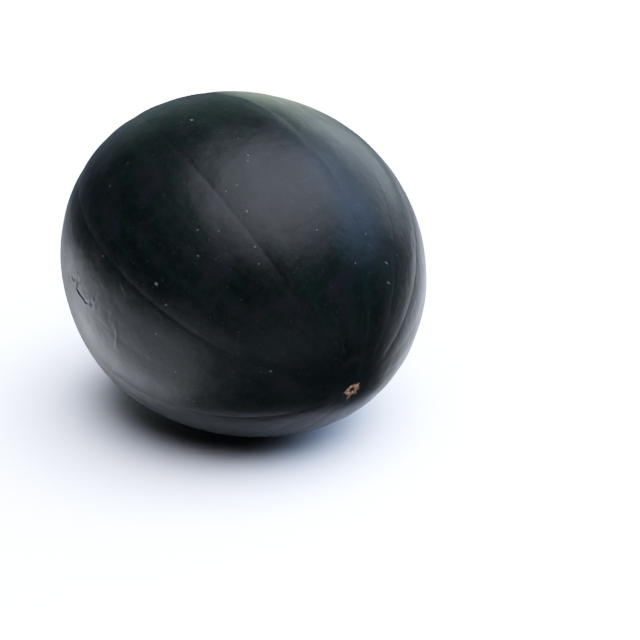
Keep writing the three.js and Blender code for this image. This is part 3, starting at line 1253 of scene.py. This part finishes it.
@dataclass
class Studio:
    """A pale floor, soft lights and the camera."""

    centre: np.ndarray
    azimuth: float = math.radians(55.2)  # 0 looks along +Y, and 90 degrees along -X
    elevation: float = math.radians(24.0)
    lens: float = 135.0  # in millimetres, as is the sensor's width
    sensor: float = 36.0
    pixel: float = 0.6296 * MM  # how much of the fruit a pixel of the reference picture spans
    fruit_pixel: tuple[float, float] = (243.1, 263.6)  # the fruit's middle in that picture
    floor_radius: float = 6.0
    near_floor_radius: float = 0.1
    floor_sides: int = 96
    floor_drop: float = 0.2 * MM  # keeps the floor clear of the flat spot
    film_white: float = 3.0  # the amount of light that the film shows as full white
    # The film's tones: amounts of light, and how bright each one shows
    film_tones: tuple[tuple[float, float], ...] = (
        (0.1, 0.1),
        (0.25, 0.25),
        (0.55, 0.47),
        (1.1, 0.73),
        (1.7, 0.88),
        (2.3, 0.98),
    )
    lights: tuple[SoftLight, ...] = (
        # A wide bank overhead, and two blue ones past the fruit's right shoulder
        SoftLight(68, 77, 38, 30, 0.6, (0.94, 1.0, 1.15), 10.3),
        SoftLight(99, 32, 18, 11, 0.6, (0.38, 0.58, 1.0), 9.6),
        SoftLight(125, 43, 20, 13, 0.6, (0.4, 0.6, 1.0), 4.5),
        # Low lights behind the fruit, which brighten its edge
        SoftLight(142, 15, 25, 16, 0.5, (0.86, 0.97, 1.08), 3.6),
        SoftLight(-178, 14, 28, 18, 0.5, (0.72, 1.0, 0.92), 0.45),
        # Lights under the horizon: the fruit mirrors them in place of the far floor
        SoftLight(-85, -36, 46, 27, 0.45, (0.9, 0.97, 1.08), 5.1),
        SoftLight(-138, -28, 25, 15, 0.4, (0.95, 0.98, 1.04), 1.2),
        SoftLight(0, -20, 40, 14, 0.6, (0.9, 0.97, 1.05), 1.0),
        SoftLight(140, -26, 30, 15, 0.5, (0.9, 0.96, 1.08), 2.9),
    )

    def side_ways(self) -> tuple[np.ndarray, np.ndarray]:
        """Gives the level directions as the viewer sees them.

        Returns:
            The ones to the viewer's right and towards the viewer.
        """
        right = np.array([math.cos(self.azimuth), math.sin(self.azimuth), 0])
        toward = np.array([math.sin(self.azimuth), -math.cos(self.azimuth), 0])
        return right, toward

    def bearings(self, bearing: float, height: float) -> tuple[np.ndarray, np.ndarray, np.ndarray]:
        """Gives the directions that belong to a place in the sky.

        Args:
            bearing: degrees from the viewer's side towards the right.
            height: degrees over the horizon.

        Returns:
            The direction to that place, and from there the ones aside and upward.
        """
        bearing, height = math.radians(bearing), math.radians(height)
        right, toward = self.side_ways()
        level = math.cos(bearing) * toward + math.sin(bearing) * right
        aside = math.cos(bearing) * right - math.sin(bearing) * toward
        up = np.array([0, 0, 1.0])
        facing = math.cos(height) * level + math.sin(height) * up
        return facing, aside, math.cos(height) * up - math.sin(height) * level

    def build(self) -> None:
        """Builds the floor, the lights, the camera and its film."""
        self._floor()
        self._light()
        self._camera()
        self._film()

    def _film(self) -> None:
        """Rolls the brightest tones off softly, as a camera does with an overexposed white floor."""
        view = bpy.context.scene.view_settings
        view.view_transform = "Standard"
        view.use_curve_mapping = True
        mapping = view.curve_mapping
        mapping.white_level = (self.film_white,) * 3
        combined = mapping.curves[3]  # the one for all three colours together
        for light, shown in self.film_tones:
            combined.points.new(light / self.film_white, shown)
        mapping.update()

    def _floor(self) -> None:
        """Lays the floor: a part right under the fruit, and the rest round that.

        The fruit mirrors only the near part, so that its shadow shows in the gloss of the underside.
        Further out it mirrors the lights under the horizon.
        """
        material = MattPaper().material()
        count = self.floor_sides
        angles = 2 * math.pi * np.arange(count) / count
        circle = np.stack([np.cos(angles), np.sin(angles), 0 * angles], axis=-1)
        near = circle * self.near_floor_radius - [0, 0, self.floor_drop]
        far = circle * self.floor_radius - [0, 0, self.floor_drop]
        disc = mesh_object("floor_near", near, [tuple(range(count))], material)
        rim = [(i, (i + 1) % count, count + (i + 1) % count, count + i) for i in range(count)]
        ring = mesh_object("floor_far", np.concatenate([far, near]), rim, material)
        ring.visible_glossy = False

    def _light(self) -> None:
        """Lights the scene from soft lights in the world, which the camera sees as plain white."""
        world = bpy.data.worlds.new("studio")
        bpy.context.scene.world = world
        world.use_nodes = True
        tree = world.node_tree
        look = add_node(tree, "ShaderNodeTexCoord").outputs["Generated"]
        total = (0.0, 0.0, 0.0)
        for light in self.lights:
            inputs = {0: total, 1: self._soft_light(tree, look, light)}
            total = add_node(tree, "ShaderNodeVectorMath", inputs, operation="ADD").outputs[0]
        lit = add_node(tree, "ShaderNodeBackground", {"Color": total}).outputs[0]
        inputs = {"Color": linear("#ffffff"), "Strength": self.film_white}
        plain = add_node(tree, "ShaderNodeBackground", inputs).outputs[0]
        seen = add_node(tree, "ShaderNodeLightPath").outputs["Is Camera Ray"]
        mixed = add_node(tree, "ShaderNodeMixShader", {0: seen, 1: lit, 2: plain}).outputs[0]
        fill(tree, tree.nodes["World Output"], {"Surface": mixed})

    def _soft_light(self, tree: Tree, look: Socket, light: SoftLight) -> Socket:
        """Builds one soft light: an ellipse on a plane across the direction to its middle.

        Args:
            tree: the world's nodes.
            look: the direction that is looked in.
            light: the light.

        Returns:
            The socket of its colour in that direction.
        """
        facing, aside, rising = self.bearings(light.bearing, light.height)
        inputs = {0: look, 1: tuple(facing)}
        depth = add_node(tree, "ShaderNodeVectorMath", inputs, operation="DOT_PRODUCT").outputs["Value"]
        least = 0.001  # keeps directions away from the light from mirroring it
        ahead = add_node(tree, "ShaderNodeMath", {0: depth, 1: least}, operation="MAXIMUM").outputs[0]
        offsets = []
        for way, spread in ((aside, light.side_spread), (rising, light.rise_spread)):
            inputs = {0: look, 1: tuple(way / math.tan(math.radians(spread)))}
            across = add_node(tree, "ShaderNodeVectorMath", inputs, operation="DOT_PRODUCT").outputs["Value"]
            offset = add_node(tree, "ShaderNodeMath", {0: across, 1: ahead}, operation="DIVIDE")
            offsets.append(offset.outputs[0])
        plane = add_node(tree, "ShaderNodeCombineXYZ", dict(enumerate(offsets))).outputs[0]
        reach = add_node(tree, "ShaderNodeVectorMath", {0: plane}, operation="LENGTH").outputs["Value"]
        inputs = {
            "Value": reach,
            "From Min": 1 + light.softness,
            "From Max": 1 - light.softness,
            "To Max": light.strength,
        }
        inside = add_node(tree, "ShaderNodeMapRange", inputs, interpolation_type="SMOOTHSTEP").outputs[0]
        inputs = {0: light.colour, "Scale": inside}
        return add_node(tree, "ShaderNodeVectorMath", inputs, operation="SCALE").outputs[0]

    def _camera(self) -> None:
        """Places the camera so that the fruit's middle falls, and stands upright, on its pixel."""
        data = bpy.data.cameras.new("camera")
        data.lens = self.lens
        data.sensor_width = self.sensor
        camera = bpy.data.objects.new("camera", data)
        bpy.context.scene.collection.objects.link(camera)
        distance = self.pixel * PICTURE_SIDE * self.lens / self.sensor
        right, toward = self.side_ways()
        up = np.array([0, 0, 1.0])
        back = math.cos(self.elevation) * toward + math.sin(self.elevation) * up
        rising = math.cos(self.elevation) * up - math.sin(self.elevation) * toward
        from_middle = [(PICTURE_SIDE / 2 - pixel) * self.pixel for pixel in self.fruit_pixel]
        aim = self.centre + right * from_middle[0] - rising * from_middle[1]
        place = self.centre + back * distance
        backward = (place - aim) / np.linalg.norm(place - aim)
        side = np.cross(rising, backward)
        side /= np.linalg.norm(side)
        turned = Matrix((side, np.cross(backward, side), backward)).transposed()
        camera.location = place
        camera.rotation_euler = turned.to_euler()
        bpy.context.scene.camera = camera


# The single marks: their places in degrees, then their lengths and widths
SKIN_MARKS = (
    SkinMark(70.9, 155.2, 2.4 * MM, 2.0 * MM, strength=0.75),
    SkinMark(113.9, 109.0, 2.6 * MM, 1.9 * MM, strength=0.6),
    SkinMark(64.7, 158.5, 1.5 * MM, 1.2 * MM, strength=0.5),
    SkinMark(67.4, 117.0, 2.0 * MM, 1.4 * MM, strength=0.45),
    SkinMark(85.3, 104.3, 2.2 * MM, 1.4 * MM, strength=0.45),
    SkinMark(28.4, 160.2, 1.8 * MM, 1.4 * MM, strength=0.5),
    SkinMark(38.8, 67.6, 3.4 * MM, 1.2 * MM, heading=60, strength=0.6),
    SkinMark(33.1, 66.2, 3.4 * MM, 1.2 * MM, heading=60, strength=0.5),
    SkinMark(79.7, 164.6, 11.0 * MM, 0.8 * MM, heading=-27, strength=0.2),
    SkinMark(32.4, 33.8, 3.0 * MM, 1.0 * MM, heading=20, strength=0.4),
)

# Small pale flecks: for each its degrees from the blossom end and its turn
FLECK_PLACES = (
    (72.3, 133.3), (66.3, 138.9), (67.6, 128.4), (52.3, 125.0), (56.9, 122.3), (52.1, 98.6),
    (47.4, 77.6), (39.5, 86.8), (77.0, 118.3), (76.8, 114.1), (83.1, 105.9), (94.2, 102.5),
    (112.4, 136.7), (110.0, 146.2), (92.8, 162.0), (47.2, -166.9), (54.0, -179.7), (63.3, 169.6),
)
FLECK_SIZE = 1.3 * MM
FLECK_STRENGTH = 0.4

# The healed cracks of the side that is on the viewer's left
JAGGED_CRACK = (
    (103.9, 179.7), (102.7, 179.8), (100.6, 177.9), (98.9, 177.7), (99.5, 179.3), (99.0, 180.4),
    (97.7, 180.6), (94.1, 180.2), (92.9, 180.5), (91.3, 179.4), (89.4, 178.7), (87.8, 178.1),
)
LONG_CRACK = (
    (102.5, 175.5), (96.5, 175.8), (92.6, 175.3), (89.4, 174.3), (87.7, 175.0), (83.1, 175.5), (80.6, 176.8),
)
BOWED_RIDGE = ((79.8, 176.6), (77.6, 177.7), (76.3, 179.1), (75.8, 181.2), (75.7, 184.1))
CRACKS = (
    HealedCrack(JAGGED_CRACK, height=-0.55 * MM, width=0.55 * MM, lip_height=0.2 * MM),
    HealedCrack(LONG_CRACK, height=-0.25 * MM, width=0.6 * MM),
    HealedCrack(BOWED_RIDGE, height=0.25 * MM, width=0.9 * MM),
    HealedCrack(((106.7, 181.6), (105.4, 182.6)), height=-0.35 * MM, width=0.6 * MM),
    HealedCrack(((88.7, 175.9), (88.6, 177.1)), height=-0.35 * MM, width=0.6 * MM),
    HealedCrack(((92.8, 183.9), (87.6, 184.5), (86.2, 185.3)), height=-0.14 * MM, width=0.9 * MM),
    HealedCrack(((89.4, 187.6), (86.7, 188.6)), height=-0.14 * MM, width=0.9 * MM),
)


def main() -> None:
    logging.basicConfig(level=logging.INFO, format="%(name)s: %(message)s")
    flecks = [SkinMark(*place, FLECK_SIZE, FLECK_SIZE, strength=FLECK_STRENGTH) for place in FLECK_PLACES]
    rind = Rind(marks=(*SKIN_MARKS, *flecks), cracks=CRACKS)
    for sub_assembly in (rind, StalkStub(skin=rind)):
        piece = sub_assembly.build()
        log.info("%s: %d points, %d faces", piece.name, len(piece.data.vertices), len(piece.data.polygons))
    studio = Studio(centre=rind.centre)
    studio.build()
    log.info("studio: floor, camera and %d soft lights", len(studio.lights))


if __name__ == "__main__":
    main()
